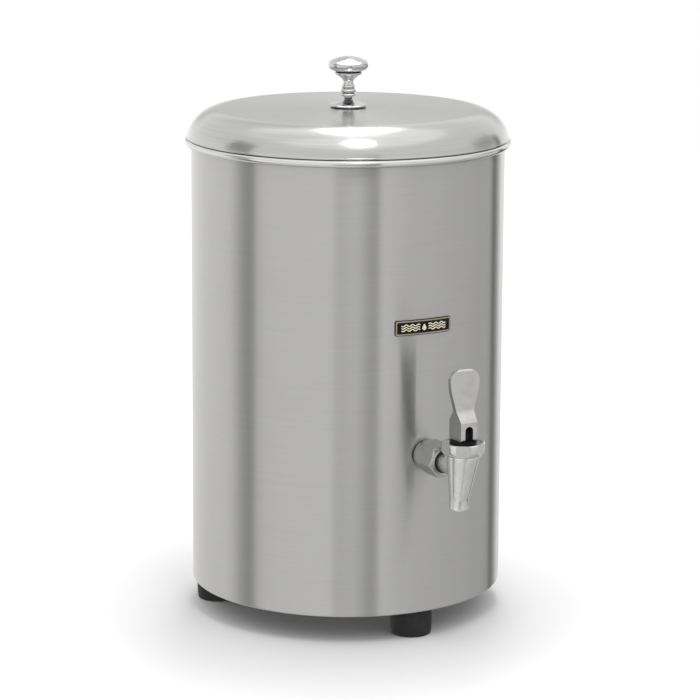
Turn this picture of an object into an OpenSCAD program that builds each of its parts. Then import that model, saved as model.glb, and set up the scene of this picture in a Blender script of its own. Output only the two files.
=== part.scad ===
// Hot water urn: an insulated steel tank on three feet, with a lift-off lid and a self-closing tap.
// Millimetres, +Z up. The feet stand on z = 0 and the tap points to -Y.

/* [Urn body] */
// Outer diameter of the outer shell
shell_d = 250; // [236:1:264]
// Height from the shell's bottom edge to the top of the rim
shell_h = 360; // [330:1:400]
// Sheet thickness of the outer shell
shell_wall = 1; // [0.7:0.1:1.4]
// Radius of the rolled hem at the shell's bottom edge
hem_r = 1.2; // [0.9:0.1:1.6]
// Radius of the rolled bead at the rim
bead_r = 2.9; // [2.5:0.1:3.4]
// Width of the insulated space between tank and shell
insulation_gap = 13; // [10:0.5:16]
// Sheet thickness of the inner tank
tank_wall = 1; // [0.7:0.1:1.4]
// Inner radius of the bend between the tank's floor and wall
tank_corner_r = 9; // [6:0.5:10]
// Drop from the tap's axis to the underside of the tank's floor
tank_floor_drop = 24; // [24:0.5:32]
// Depth of the tank's flange below the top of the rim
flange_drop = 1.6; // [1.2:0.1:2.2]

/* [Base and feet] */
// Height of the shell's bottom edge above the floor
foot_clearance = 22; // [18:0.5:28]
// Diameter of a foot at its widest
foot_d = 33.4; // [28:0.2:36]
// Distance of a foot's axis inwards from the shell's surface
foot_inset = 20; // [20:0.5:29]
// Radius of the rounded edge at the foot's bottom
foot_edge_r = 1.8; // [1:0.1:3]
// Radius of the barrel curve of a foot's side
foot_barrel_r = 90; // [60:5:150]
// Diameter of the recess for the screw head in a foot
foot_recess_d = 14; // [13.4:0.2:16]
// Height of rubber between the screw head's washer and the base plate
foot_grip_h = 10; // [7:0.5:12]
// Sheet thickness of the base plate
plate_wall = 1.2; // [0.8:0.1:2]
// Height of the base plate's upturned flange
plate_flange_h = 12; // [8:0.5:20]
// Thread diameter of the foot screws
foot_screw_d = 6; // [5:0.5:7]

/* [Shank] */
// Height of the tap's horizontal axis above the floor
tap_axis_z = 150; // [146:1:170]
// Distance of the tap's vertical axis from the shell's surface
tap_reach = 55; // [54:0.5:62]
// Size of the coupling sleeve across its flats
sleeve_af = 23.9; // [22:0.1:26]
// Length of the coupling sleeve
sleeve_l = 27.4; // [24:0.2:30]
// Turn of the sleeve's flats about its axis, in degrees
sleeve_turn = 11.5; // [0:0.5:30]
// Length of the round end of the sleeve that faces the shell
sleeve_round_l = 3; // [1.5:0.1:4]
// Length of the long chamfer between the round end and the hexagon
sleeve_chamfer_l = 5; // [3:0.1:6]
// Thread diameter of the shank's tail
tail_d = 18; // [16:0.5:18.5]
// Length of the tail that stands inside the tank, past the nut
tail_end_l = 3; // [1:0.5:6]
// Bore of the shank and of the tap's inlet
water_bore = 8.6; // [7:0.1:9]
// Diameter of the tap's inlet stub
stub_d = 16.5; // [15.5:0.1:17]
// Depth of the socket that takes the stub
stub_l = 12; // [9:0.5:15]
// Thickness of the shell gasket at its thinnest
gasket_t = 1.2; // [0.9:0.1:1.8]
// Diameter of the shell gasket
shell_gasket_d = 22.8; // [21.6:0.1:23.4]
// Diameter of the tank gasket and of the spacer
gasket_d = 24.4; // [23.6:0.1:25.4]
// Thickness of the tank gasket at its thinnest
tank_gasket_t = 1.6; // [1.2:0.1:2.4]
// Thickness of the steel washer under the locknut
shank_washer_t = 1.5; // [1:0.1:2]
// Size of the locknut across its flats
nut_af = 24; // [22:0.5:27]
// Thickness of the locknut
nut_t = 6; // [4:0.5:8]

/* [Tap] */
// Radius of the tap body at the bonnet
body_r = 12.8; // [12.4:0.1:13.2]
// Radius of the nozzle
nozzle_r = 7.45; // [7.2:0.05:8]
// Length of the nozzle's straight end
nozzle_l = 9.5; // [6:0.5:12]
// Drop from the tap's axis to the nozzle's mouth
nozzle_drop = 33; // [31:0.5:36]
// Set-back of the nozzle towards the urn
nozzle_offset = 5; // [4.5:0.1:5.2]
// Bore of the nozzle
outlet_bore = 10; // [9:0.1:11]
// Bore of the valve seat
seat_bore = 7; // [6:0.1:7.4]
// Radius of the valve chamber
chamber_r = 7; // [6.6:0.1:7.2]
// Radius of the wide top of the chamber
chamber_top_r = 9.6; // [9:0.1:10]
// Drop from the tap's axis to the valve seat
seat_drop = 4.5; // [4.3:0.1:5]
// Height of the bonnet's lower edge above the tap's axis
bonnet_rise = 11.4; // [11:0.1:13]
// Height of the bonnet
bonnet_h = 10.3; // [9.6:0.1:12]
// Outer radius of the bonnet
bonnet_r = 16.55; // [16:0.05:18]
// Size of the bonnet across its six wrench flats
bonnet_af = 31; // [30.6:0.1:31.8]
// Thickness of the bonnet's top
bonnet_top_t = 2.7; // [2.4:0.1:3.2]
// Depth of the recess in the bonnet's top
bonnet_recess = 0.7; // [0.4:0.1:1]
// Height of the bonnet seal
bonnet_seal_t = 1.2; // [0.8:0.1:1.6]

/* [Valve] */
// Radius of the stem
stem_r = 3.3; // [3:0.1:3.5]
// Radius of the stem guide's disc
guide_r = 10.45; // [9.5:0.05:12]
// Thickness of the stem guide's disc
guide_t = 2.1; // [1.6:0.1:2.6]
// Radius of the seat cup
cup_r = 5.5; // [5.2:0.1:5.8]
// Height of the seat cup
cup_h = 7; // [6.4:0.1:8]
// Thickness of the stem's collar
collar_t = 2.5; // [2:0.1:3]
// Wire radius of the valve spring
wire_r = 0.55; // [0.4:0.05:0.7]
// Turns of the valve spring
spring_turns = 5; // [4:1:6]
// Running clearance of stem, pin and slot on their radius
running_clear = 0.1; // [0.06:0.01:0.1]

/* [Handle] */
// Width of the handle's block
block_w = 14.6; // [13.6:0.1:16]
// Depth of the handle's block
block_d = 17; // [16:0.1:19]
// Height of the handle's block up to its shoulders
block_h = 14.3; // [13.4:0.1:16]
// Height of the sloped shoulders
shoulder_h = 9.5; // [8:0.1:12]
// Width of the slot for the stem
slot_w = 6.8; // [6.8:0.1:7.4]
// Height of the slot's round top above the block's underside
slot_h = 11.4; // [11:0.1:12.2]
// Height of the pin's axis above the block's underside
pin_rise = 5.6; // [5.4:0.1:6]
// Diameter of the cross pin
pin_d = 3.1; // [2.6:0.1:3.4]
// Radius of the heels on which the block rocks
heel_r = 1.5; // [1.4:0.1:2.4]
// Gap between the block's underside and the stem guide
heel_gap = 0.5; // [0.5:0.1:1]
// Height of the handle above the stem guide
handle_h = 54.9; // [50:0.1:62]
// Width of the paddle at its widest
paddle_w = 25.5; // [22:0.1:30]
// Thickness of the paddle at its root
paddle_root_t = 4.6; // [4:0.1:5.4]
// Thickness of the paddle at its top
paddle_tip_t = 3.4; // [2.6:0.1:4]
// Radius of the paddle's top corners
paddle_corner_r = 9.2; // [6:0.1:10]

/* [Lid] */
// Height of the dome from its edge to its crown
lid_h = 23.1; // [21:0.1:26]
// Sheet thickness of the dome
lid_wall = 1; // [0.7:0.1:1.3]
// Distance by which the dome's edge stands out past the middle of the bead
lid_overhang = 1.2; // [0.8:0.1:1.6]
// Radius of the dome's crown
crown_r = 5000; // [2000:100:8000]
// Radius of the dome's shoulder
shoulder_r = 27; // [22:0.5:30]
// Radius of the hem at the dome's edge
lid_hem_r = 0.85; // [0.7:0.05:1]
// Depth of the lid ring's skirt below the rim
skirt_h = 11; // [8:0.5:16]
// Clearance between the skirt and the tank
skirt_clear = 0.8; // [0.5:0.1:1.5]
// Gap between the lid and the top of the bead
lid_rest_gap = 0.2; // [0.1:0.01:0.3]

/* [Knob] */
// Height of the knob
knob_h = 40.4; // [39.4:0.5:46]
// Radius of the knob's cap
cap_r = 16.05; // [14:0.05:18]
// Thickness of the knob's cap
cap_t = 14; // [12.6:0.1:15]
// Radius of the cap's rounded rim
cap_rim_r = 3.8; // [3:0.1:4.4]
// Radius of the knob's flared foot
knob_foot_r = 15.1; // [13:0.1:17]
// Thread diameter of the knob's screw
knob_screw_d = 5; // [4:0.5:5.5]

/* [Label] */
// Width of the label plate along the shell
label_w = 48.9; // [40:0.5:60]
// Height of the label plate
label_h = 12; // [10:0.5:16]
// Height of the plate's centre above the floor
label_z = 251; // [244:1:290]
// Distance of the plate's centre from the tap's line, along the shell
label_shift = 2.8; // [0:0.1:4]
// Thickness of the plate
label_t = 0.7; // [0.5:0.1:1]
// Width of the border round the plate
label_border_w = 1; // [0.7:0.1:1.5]
// Height of the border above the plate
label_border_t = 0.35; // [0.2:0.05:0.6]
// Corner radius of the label plate
label_corner_r = 1.6; // [1.5:0.1:2.5]

/* [Hidden] */
$fn = 96;
// Facets of the large circles that thin pieces are cut to
curve_fn = 256;
eps = 0.01;
thread_clear = 0.05;
seat_clear = 0.05;
foam_clear = 0.2;

// Right and left as seen by someone who stands at the tap
FEET = ["front_foot", "right_foot", "left_foot"];

// Urn body
shell_r = shell_d / 2;
shell_ir = shell_r - shell_wall;
rim_z = foot_clearance + shell_h;
bead_axis_r = shell_r + bead_r - shell_wall / 2 + 0.1;
bead_axis_z = rim_z - bead_r;
bead_outer_r = bead_axis_r + bead_r;
flange_z = rim_z - flange_drop;
tank_r = shell_ir - insulation_gap;
tank_ir = tank_r - tank_wall;
tank_floor_z = tap_axis_z - tank_floor_drop;
shell_top_z = flange_z - tank_wall - seat_clear;

// Frame: the box of the whole urn is centred on the Z axis
tap_r = shell_r + tap_reach;
axis_y = (tap_r + bonnet_r - bead_outer_r) / 2;

// Base and feet
foot_circle_r = shell_r - foot_inset;
plate_z = foot_clearance + 2 * hem_r;
plate_r = shell_ir - seat_clear;
recess_z = plate_z - foot_grip_h;
foot_mid_z = foot_clearance / 2;
washer_t = 1.2;
foot_washer_r = foot_recess_d / 2 - 0.6;
foot_head_r = foot_screw_d;
foot_head_h = foot_screw_d * 0.6;
foot_nut_af = foot_screw_d * 5 / 3;
foot_nut_h = foot_screw_d * 0.8;
foot_nut_z = plate_z + plate_wall;
foot_screw_top_z = foot_nut_z + foot_nut_h + 2;

// Shank
sleeve_back_r = shell_r + gasket_t;
sleeve_front_r = sleeve_back_r + sleeve_l;
sleeve_corner_r = sleeve_af / 2 / cos(30);
ring_seat_t = 1.6;
ring_seat_r = stub_d / 2 + 1;
tank_gasket_y = tank_ir - tank_gasket_t;
tank_gasket_in_y = tank_gasket_y - 1;
shank_washer_y = tank_gasket_in_y - shank_washer_t;
nut_y = shank_washer_y - nut_t;
tail_end_y = nut_y - tail_end_l;
tail_hole_r = tail_d / 2 + 0.3;

// Tap
bonnet_z = tap_axis_z + bonnet_rise;
bonnet_top_z = bonnet_z + bonnet_h;
ceiling_z = bonnet_top_z - bonnet_top_t;
recess_floor_z = bonnet_top_z - bonnet_recess;
body_top_z = ceiling_z - bonnet_seal_t;
neck_r = body_r - 0.3;
nozzle_z = tap_axis_z - nozzle_drop;
cone_z = nozzle_z + nozzle_l;
cone_h = bonnet_z - cone_z;
seat_z = tap_axis_z - seat_drop;
seat_bore_l = 7;
outlet_top_z = seat_z - seat_bore_l + 1;
chamber_step_z = tap_axis_z + 7;

// Valve
guide_top_z = recess_floor_z + guide_t;
guide_sleeve_r = stem_r + 3.2;
guide_sleeve_z = ceiling_z - 2.5;
cup_z = seat_z + 0.1;
cup_top_z = cup_z + cup_h;
collar_top_z = cup_top_z + collar_t;
collar_r = chamber_r - 1;
spring_r = stem_r + wire_r + 0.8;
stem_tip_z = cup_z + 2;
peg_r = stem_r - 0.8;
o_ring_z = guide_sleeve_z + 2.2;
o_ring_h = 1.4;
groove_r = stem_r - 0.65;
tongue_z = guide_top_z + 0.3;

// Handle
block_z = guide_top_z + heel_gap;
pin_z = block_z + pin_rise;
slot_axis_z = block_z + slot_h - slot_w / 2;
shoulder_z = block_z + block_h;
paddle_z = shoulder_z + shoulder_h;
handle_top_z = guide_top_z + handle_h;
tongue_r = slot_w / 2 - running_clear;
tongue_d = block_d * 0.53;
pin_blind_t = 1.2;

// Lid
lid_edge_r = bead_axis_r + lid_overhang;
lid_hem_axis_r = lid_edge_r - lid_hem_r;
lid_z = rim_z + lid_rest_gap + lid_hem_r;
crown_z = lid_z + lid_h;
crown_centre_z = crown_z - crown_r;
shoulder_x = lid_edge_r + 0.3 - shoulder_r;
knob_washer_r = knob_screw_d * 1.4;
knob_washer_z = crown_centre_z + sqrt(pow(crown_r - lid_wall, 2) - pow(knob_washer_r, 2)) - washer_t;
shoulder_centre_z = crown_centre_z + sqrt(pow(crown_r - shoulder_r, 2) - pow(shoulder_x, 2));
crown_end_r = shoulder_x * crown_r / (crown_r - shoulder_r);
ring_z = rim_z + lid_rest_gap;
skirt_r = tank_ir - skirt_clear;
skirt_z = rim_z - skirt_h;

// Knob: depth below the top, radius and roundness of each turned ring
knob_rings = [[13.4, 10.8, 1.1], [15.9, 7, 1.1], [24.1, 5.3, 1.2], [27.3, 6.1, 1.6], [30.7, 5.9, 1.2]];
// Depth below the top and radius of the core at each of its turns, from the foot's neck up
knob_core = [
    [33.2, 3.1], [32, 3.4], [30.7, 4.6], [25.3, 4.6], [22.6, 4.5], [21.2, 4.1], [19.6, 4],
    [18.4, 4.6], [17.2, 5.7], [14.4, 9.6]
];
// Height and radius of the foot's flare at each of its turns, from the edge up
knob_flare = [[2.25, knob_foot_r - 0.9], [2.9, 12.2], [3.6, 9.6], [4.6, 6.6], [5.8, 4.4]];
cap_axis_z = knob_h - cap_t / 2;
knob_screw_l = 12;

// Label
label_r = shell_r + seat_clear;
label_turn = -label_shift / label_r * 180 / PI;

module at_urn() translate([0, axis_y, 0]) children();
module at_tap() translate([0, axis_y - tap_r, 0]) children();
module at_foot(i) at_urn() rotate(i * 120) translate([0, -foot_circle_r, 0]) children();

// Turns a shape that stands on its base so that it runs outwards from the distance y in front of the urn's axis
module outwards(y, z = tap_axis_z) translate([0, -y, z]) rotate([90, 0, 0]) children();

module ring_section(r_in, r_out, h) translate([r_in, 0]) square([r_out - r_in, h]);

module tube(r_in, r_out, h) rotate_extrude() ring_section(r_in, r_out, h);

module hex_prism(af, h) cylinder(r = af / 2 / cos(30), h = h, $fn = 6);

// ---- Urn body

module outer_shell() {
    color("silver") at_urn() difference() {
        rotate_extrude() {
            translate([shell_ir, foot_clearance + hem_r])
                square([shell_wall, shell_top_z - foot_clearance - hem_r]);
            translate([shell_r - hem_r, foot_clearance + hem_r]) circle(r = hem_r);
        }
        outwards(tank_r) cylinder(r = tail_hole_r, h = insulation_gap + 2 * shell_wall + 1);
    }
}

// Bead, flange, wall and floor of the tank, as one sheet
module tank_section() {
    difference() {
        translate([bead_axis_r, bead_axis_z]) circle(r = bead_r);
        translate([bead_axis_r, bead_axis_z]) circle(r = bead_r - tank_wall);
        // mouth of the curl, where the shell's edge goes in
        translate([shell_ir - 2, bead_axis_z - bead_r - 1])
            square([shell_wall + 2.5, bead_r + 1 + bead_r - flange_drop - tank_wall + eps]);
    }
    translate([tank_ir + tank_wall, flange_z - tank_wall])
        square([bead_axis_r - tank_r - sqrt(pow(bead_r - tank_wall / 2, 2) - pow(bead_r - flange_drop - tank_wall / 2, 2)), tank_wall]);
    translate([tank_ir, tank_floor_z + tank_wall + tank_corner_r])
        square([tank_wall, flange_z - tank_floor_z - tank_wall - tank_corner_r]);
    translate([tank_ir - tank_corner_r, tank_floor_z + tank_wall + tank_corner_r]) intersection() {
        difference() {
            circle(r = tank_corner_r + tank_wall);
            circle(r = tank_corner_r);
        }
        translate([0, -tank_corner_r - tank_wall]) square(tank_corner_r + tank_wall);
    }
    translate([0, tank_floor_z]) square([tank_ir - tank_corner_r, tank_wall]);
}

module inner_tank() {
    color("gainsboro") at_urn() difference() {
        rotate_extrude() tank_section();
        outwards(tail_end_y) cylinder(r = tail_hole_r, h = tank_r - tail_end_y + 1);
    }
}

module side_insulation() {
    foam_z = tank_floor_z + tank_corner_r;
    color("khaki") at_urn() difference() {
        translate([0, 0, foam_z])
            tube(tank_r + foam_clear, shell_ir - foam_clear, flange_z - tank_wall - foam_clear - foam_z);
        outwards(tank_r - 1) cylinder(r = gasket_d / 2 + foam_clear, h = insulation_gap + 2);
    }
}

module base_insulation() {
    foam_z = plate_z + plate_wall;
    color("khaki") at_urn() difference() {
        union() {
            translate([0, 0, foam_z])
                cylinder(r = plate_r - plate_wall - foam_clear, h = plate_flange_h);
            translate([0, 0, foam_z + plate_flange_h - plate_wall])
                cylinder(r = shell_ir - foam_clear, h = tank_floor_z - foam_clear - foam_z - plate_flange_h + plate_wall);
        }
        for (i = [0 : 2]) rotate(i * 120) translate([0, -foot_circle_r, foam_z - 1])
            cylinder(r = foot_nut_af / 2 / cos(30) + 0.5, h = foot_screw_top_z - foam_z + 2);
    }
}

module base_plate() {
    color("darkgray") at_urn() difference() {
        translate([0, 0, plate_z]) union() {
            cylinder(r = plate_r, h = plate_wall);
            tube(plate_r - plate_wall, plate_r, plate_flange_h);
        }
        for (i = [0 : 2]) rotate(i * 120) translate([0, -foot_circle_r, plate_z - 1])
            cylinder(d = foot_screw_d + 0.4, h = plate_wall + 2);
    }
}

// ---- Feet

module foot_section() {
    side_r = foot_d / 2;
    bottom_r = side_r - foot_barrel_r + sqrt(pow(foot_barrel_r, 2) - pow(foot_mid_z - foot_edge_r, 2));
    difference() {
        intersection() {
            square([side_r, plate_z]);
            translate([side_r - foot_barrel_r, foot_mid_z]) circle(r = foot_barrel_r, $fn = 256);
        }
        translate([bottom_r - foot_edge_r, 0]) difference() {
            translate([0, -1]) square(foot_edge_r + 1);
            translate([0, foot_edge_r]) circle(r = foot_edge_r);
        }
        translate([0, -1]) square([foot_recess_d / 2, recess_z + 1]);
        translate([0, -1]) square([foot_screw_d / 2 + 0.2, plate_z + 2]);
    }
}

module foot(i) {
    color("black") at_foot(i) rotate_extrude() foot_section();
}

module foot_screws() {
    head_z = recess_z - washer_t - foot_head_h;
    color("silver") for (i = [0 : 2]) at_foot(i) difference() {
        union() {
            translate([0, 0, head_z]) cylinder(r1 = foot_head_r * 0.8, r2 = foot_head_r, h = foot_head_h / 3);
            translate([0, 0, head_z + foot_head_h / 3]) cylinder(r = foot_head_r, h = foot_head_h * 2 / 3);
            translate([0, 0, head_z + eps]) cylinder(d = foot_screw_d, h = foot_screw_top_z - head_z);
        }
        translate([0, 0, head_z - eps]) hex_prism(foot_screw_d * 2 / 3, foot_head_h * 0.6);
    }
}

module foot_washers() {
    color("silver") for (i = [0 : 2]) at_foot(i) translate([0, 0, recess_z - washer_t])
        tube(foot_screw_d / 2 + 0.2, foot_washer_r, washer_t);
}

module foot_nuts() {
    color("silver") for (i = [0 : 2]) at_foot(i) translate([0, 0, foot_nut_z]) difference() {
        hex_prism(foot_nut_af, foot_nut_h);
        translate([0, 0, -1]) cylinder(r = foot_screw_d / 2 + thread_clear, h = foot_nut_h + 2);
    }
}

// ---- Label above the tap

// A plate with round corners that stands in front of the shell, to be cut with a ring of the shell's curve
module label_block(w, h, corner) {
    outwards(shell_r - w, label_z) {
        cube([w - 2 * corner, h, 4 * w], center = true);
        cube([w, h - 2 * corner, 4 * w], center = true);
        for (x = [-1, 1], z = [-1, 1])
            translate([x * (w / 2 - corner), z * (h / 2 - corner), 0])
                cylinder(r = corner, h = 4 * w, center = true);
    }
}

module label_layer(t, r, h) translate([0, 0, label_z - h]) tube(r, r + t, 2 * h);

module front_half() translate([-shell_d, -2 * shell_d, 0]) cube([2 * shell_d, 2 * shell_d, 2 * shell_h]);

module label_plate() {
    color("black") at_urn() rotate(label_turn) intersection() {
        label_layer(label_t, label_r, label_h);
        label_block(label_w, label_h, label_corner_r);
        front_half();
    }
}

module label_frame() {
    color("tan") at_urn() rotate(label_turn) difference() {
        intersection() {
            label_layer(label_border_t, label_r + label_t, label_h);
            label_block(label_w - 1, label_h - 1, label_corner_r - 0.5);
            front_half();
        }
        label_block(label_w - 1 - 2 * label_border_w, label_h - 1 - 2 * label_border_w, 0.5);
    }
}

// ---- Shank: the coupling sleeve and what seals and holds it

module tap_shank() {
    color("silver") at_urn() difference() {
        union() {
            intersection() {
                outwards(sleeve_back_r) rotate(sleeve_turn) hex_prism(sleeve_af, sleeve_l);
                outwards(sleeve_back_r) rotate_extrude() polygon([
                    [0, 0], [sleeve_af / 2 - 0.8, 0], [sleeve_af / 2, 0.8], [sleeve_af / 2, sleeve_round_l],
                    [sleeve_corner_r + eps, sleeve_round_l + sleeve_chamfer_l],
                    [sleeve_corner_r + eps, sleeve_l - 1.7], [sleeve_af / 2 - 1.1, sleeve_l], [0, sleeve_l]
                ]);
            }
            outwards(tail_end_y) cylinder(d = tail_d, h = sleeve_back_r - tail_end_y + 1);
        }
        outwards(tail_end_y - 1) cylinder(d = water_bore, h = sleeve_front_r - tail_end_y + 2);
        outwards(sleeve_front_r - stub_l) cylinder(r = stub_d / 2 + thread_clear, h = stub_l + 1);
        outwards(sleeve_front_r - ring_seat_t) cylinder(r = ring_seat_r, h = ring_seat_t + 1);
    }
}

module shank_o_ring() {
    color("black") at_urn() outwards(sleeve_front_r - ring_seat_t + seat_clear)
        tube(stub_d / 2 + seat_clear, ring_seat_r - seat_clear, ring_seat_t - 0.4);
}

module shell_gasket() {
    inset = 5;
    color("black") at_urn() difference() {
        outwards(shell_r - inset) cylinder(d = shell_gasket_d, h = gasket_t + inset - seat_clear);
        outwards(shell_r - inset - 1) cylinder(r = tail_hole_r, h = gasket_t + inset + 2);
        cylinder(r = shell_r + seat_clear, h = rim_z, $fn = curve_fn);
    }
}

module shank_spacer() {
    color("white") at_urn() difference() {
        intersection() {
            outwards(tank_r - 2) cylinder(d = gasket_d, h = insulation_gap + 4);
            cylinder(r = shell_ir - seat_clear, h = rim_z, $fn = curve_fn);
        }
        outwards(tank_r - 3) cylinder(r = tail_hole_r, h = insulation_gap + 6);
        cylinder(r = tank_r + seat_clear, h = rim_z, $fn = curve_fn);
    }
}

module tank_gasket() {
    color("black") at_urn() difference() {
        intersection() {
            outwards(tank_gasket_in_y) cylinder(d = gasket_d, h = tank_ir);
            cylinder(r = tank_ir - seat_clear, h = rim_z, $fn = curve_fn);
            front_half();
        }
        outwards(tank_gasket_in_y - 1) cylinder(r = tail_hole_r, h = tank_ir);
    }
}

module shank_washer() {
    color("silver") at_urn() outwards(shank_washer_y)
        tube(tail_d / 2 + 0.2, gasket_d / 2 - 0.4, shank_washer_t);
}

module shank_nut() {
    color("silver") at_urn() outwards(nut_y) difference() {
        intersection() {
            hex_prism(nut_af, nut_t);
            rotate_extrude() polygon([
                [0, 0], [nut_af / 2, 0], [nut_af / 2 / cos(30) + eps, 1.2],
                [nut_af / 2 / cos(30) + eps, nut_t], [0, nut_t]
            ]);
        }
        translate([0, 0, -1]) cylinder(r = tail_d / 2 + thread_clear, h = nut_t + 2);
    }
}

// ---- Tap

// The tapered part leans so that its back stays upright and its front slopes in to the nozzle
module tap_cone() {
    lean = atan(nozzle_offset / cone_h);
    slant = sqrt(pow(nozzle_offset, 2) + pow(cone_h, 2));
    small_r = nozzle_r + 0.1;
    over = 1.2;
    intersection() {
        translate([0, nozzle_offset, cone_z]) rotate([lean, 0, 0])
            cylinder(r1 = small_r, r2 = small_r + over * (body_r - small_r), h = over * slant);
        translate([0, 0, nozzle_z]) cylinder(r = 2 * body_r, h = bonnet_z - seat_clear - nozzle_z);
    }
}

module tap_body() {
    mouth_r = 1.8;
    color("silver") at_tap() difference() {
        union() {
            tap_cone();
            translate([0, 0, bonnet_z - 2]) cylinder(r = neck_r, h = body_top_z - bonnet_z + 2);
            translate([0, nozzle_offset, nozzle_z]) rotate_extrude() {
                translate([0, mouth_r]) square([nozzle_r, nozzle_l + 1 - mouth_r]);
                square([nozzle_r - mouth_r, mouth_r + eps]);
                translate([nozzle_r - mouth_r, mouth_r]) circle(r = mouth_r);
            }
            outwards(sleeve_front_r - stub_l + seat_clear - tap_r)
                cylinder(d = stub_d, h = tap_r - sleeve_front_r + stub_l - seat_clear);
        }
        translate([0, nozzle_offset, nozzle_z - 1]) cylinder(d = outlet_bore, h = outlet_top_z - nozzle_z + 1);
        translate([0, 0, seat_z - seat_bore_l]) cylinder(d = seat_bore, h = seat_bore_l + 1);
        translate([0, 0, seat_z]) cylinder(r = chamber_r, h = body_top_z - seat_z + 1);
        translate([0, 0, chamber_step_z]) cylinder(r = chamber_top_r, h = body_top_z - chamber_step_z + 1);
        outwards(sleeve_front_r - stub_l - tap_r - 1)
            cylinder(d = water_bore, h = tap_r - sleeve_front_r + stub_l + 1);
    }
}

// Half of the bonnet's section: an upright side that curves in to the lower edge
module bonnet_section() {
    edge_r = 1.2;
    belly_r = 5;
    belly_z = 4.6;
    difference() {
        union() {
            square([bonnet_r - edge_r, bonnet_h]);
            translate([0, belly_z]) square([bonnet_r, bonnet_h - edge_r - belly_z]);
            translate([bonnet_r - edge_r, bonnet_h - edge_r]) circle(r = edge_r);
            intersection() {
                translate([bonnet_r - belly_r, belly_z]) circle(r = belly_r);
                square([bonnet_r, bonnet_h]);
            }
        }
        translate([bonnet_r - belly_r, 0]) difference() {
            square([belly_r, belly_z]);
            translate([0, belly_z]) circle(r = belly_r);
        }
        translate([0, -1]) square([neck_r + thread_clear, ceiling_z - bonnet_z + 1]);
        translate([0, -1]) square([guide_sleeve_r + seat_clear, bonnet_h + 2]);
        translate([0, bonnet_h - bonnet_recess]) square([bonnet_r - 2.6, bonnet_recess + 1]);
    }
}

module bonnet() {
    color("silver") at_tap() translate([0, 0, bonnet_z]) intersection() {
        rotate_extrude() bonnet_section();
        rotate(30) translate([0, 0, -1]) hex_prism(bonnet_af, bonnet_h + 2);
    }
}

module bonnet_seal() {
    color("white") at_tap() translate([0, 0, body_top_z])
        tube(chamber_top_r, neck_r - seat_clear, bonnet_seal_t);
}

module stem_guide() {
    color("black") at_tap() difference() {
        union() {
            translate([0, 0, recess_floor_z]) cylinder(r = guide_r, h = guide_t);
            translate([0, 0, guide_sleeve_z]) cylinder(r = guide_sleeve_r, h = guide_top_z - guide_sleeve_z);
        }
        translate([0, 0, guide_sleeve_z - 1]) cylinder(r = stem_r + running_clear, h = guide_top_z - guide_sleeve_z + 2);
    }
}

// ---- Valve: all that lifts with the stem

// Side view of the stem's head, which stands in the handle's slot
module tongue_side() {
    translate([-tongue_d / 2, tongue_z]) square([tongue_d, pin_z - tongue_z - 1.6]);
    translate([0, pin_z]) circle(r = tongue_r);
    polygon([
        [-tongue_d / 2, pin_z - 1.7], [tongue_d / 2, pin_z - 1.7],
        [tongue_r * cos(30), pin_z + tongue_r / 2], [-tongue_r * cos(30), pin_z + tongue_r / 2]
    ]);
}

// Front view of the stem's head
module tongue_front() {
    translate([-tongue_r, tongue_z]) square([2 * tongue_r, pin_z - tongue_z]);
    translate([0, pin_z]) circle(r = tongue_r);
}

module valve_stem() {
    color("black") at_tap() difference() {
        union() {
            translate([0, 0, stem_tip_z]) cylinder(r = peg_r, h = cup_top_z - stem_tip_z + eps);
            translate([0, 0, cup_top_z]) cylinder(r = collar_r, h = collar_t);
            translate([0, 0, collar_top_z - eps]) cylinder(r = stem_r, h = tongue_z + 1 - collar_top_z);
            intersection() {
                rotate([90, 0, 90]) linear_extrude(2 * tongue_r + 2, center = true) tongue_side();
                rotate([90, 0, 0]) linear_extrude(tongue_d + 2, center = true) tongue_front();
            }
        }
        translate([0, 0, o_ring_z]) tube(groove_r, stem_r + 1, o_ring_h);
        translate([0, 0, pin_z]) rotate([0, 90, 0]) cylinder(r = pin_d / 2 + running_clear, h = block_w, center = true);
    }
}

module seat_cup() {
    color("white") at_tap() translate([0, 0, cup_z]) rotate_extrude() difference() {
        union() {
            translate([0, 1.2]) square([cup_r, cup_h - 1.2]);
            square([cup_r - 1.2, 1.3]);
            translate([cup_r - 1.2, 1.2]) circle(r = 1.2);
        }
        translate([0, stem_tip_z - cup_z - seat_clear]) square([peg_r + seat_clear, cup_h]);
        translate([0, cup_h - seat_clear]) square([cup_r + 1, 1]);
    }
}

module stem_o_ring() {
    color("black") at_tap() translate([0, 0, o_ring_z + seat_clear])
        tube(groove_r + 0.01, stem_r + running_clear - 0.04, o_ring_h - 2 * seat_clear);
}

// A round wire wound on a helix, closed at both ends
module coil_spring(r, wire, turns, h, steps = 20, sides = 6) {
    count = turns * steps;
    rise = (h - 2 * wire) / count;
    points = [
        for (i = [0 : count], k = [0 : sides - 1])
            let (a = 360 * i / steps, b = 360 * k / sides)
            [(r + wire * cos(b)) * cos(a), (r + wire * cos(b)) * sin(a), wire + rise * i + wire * sin(b)]
    ];
    walls = [
        for (i = [0 : count - 1], k = [0 : sides - 1])
            let (a = i * sides + k, b = i * sides + (k + 1) % sides)
            each [[a, b, a + sides], [b, b + sides, a + sides]]
    ];
    ends = [
        [for (k = [sides - 1 : -1 : 0]) k],
        [for (k = [0 : sides - 1]) count * sides + k]
    ];
    polyhedron(points, concat(walls, ends));
}

module valve_spring() {
    z = collar_top_z + seat_clear;
    color("silver") at_tap() translate([0, 0, z])
        coil_spring(spring_r, wire_r, spring_turns, guide_sleeve_z - seat_clear - z);
}

// ---- Handle

function bezier(p, t) = pow(1 - t, 3) * p[0] + 3 * t * pow(1 - t, 2) * p[1]
    + 3 * t * t * (1 - t) * p[2] + pow(t, 3) * p[3];

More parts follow.
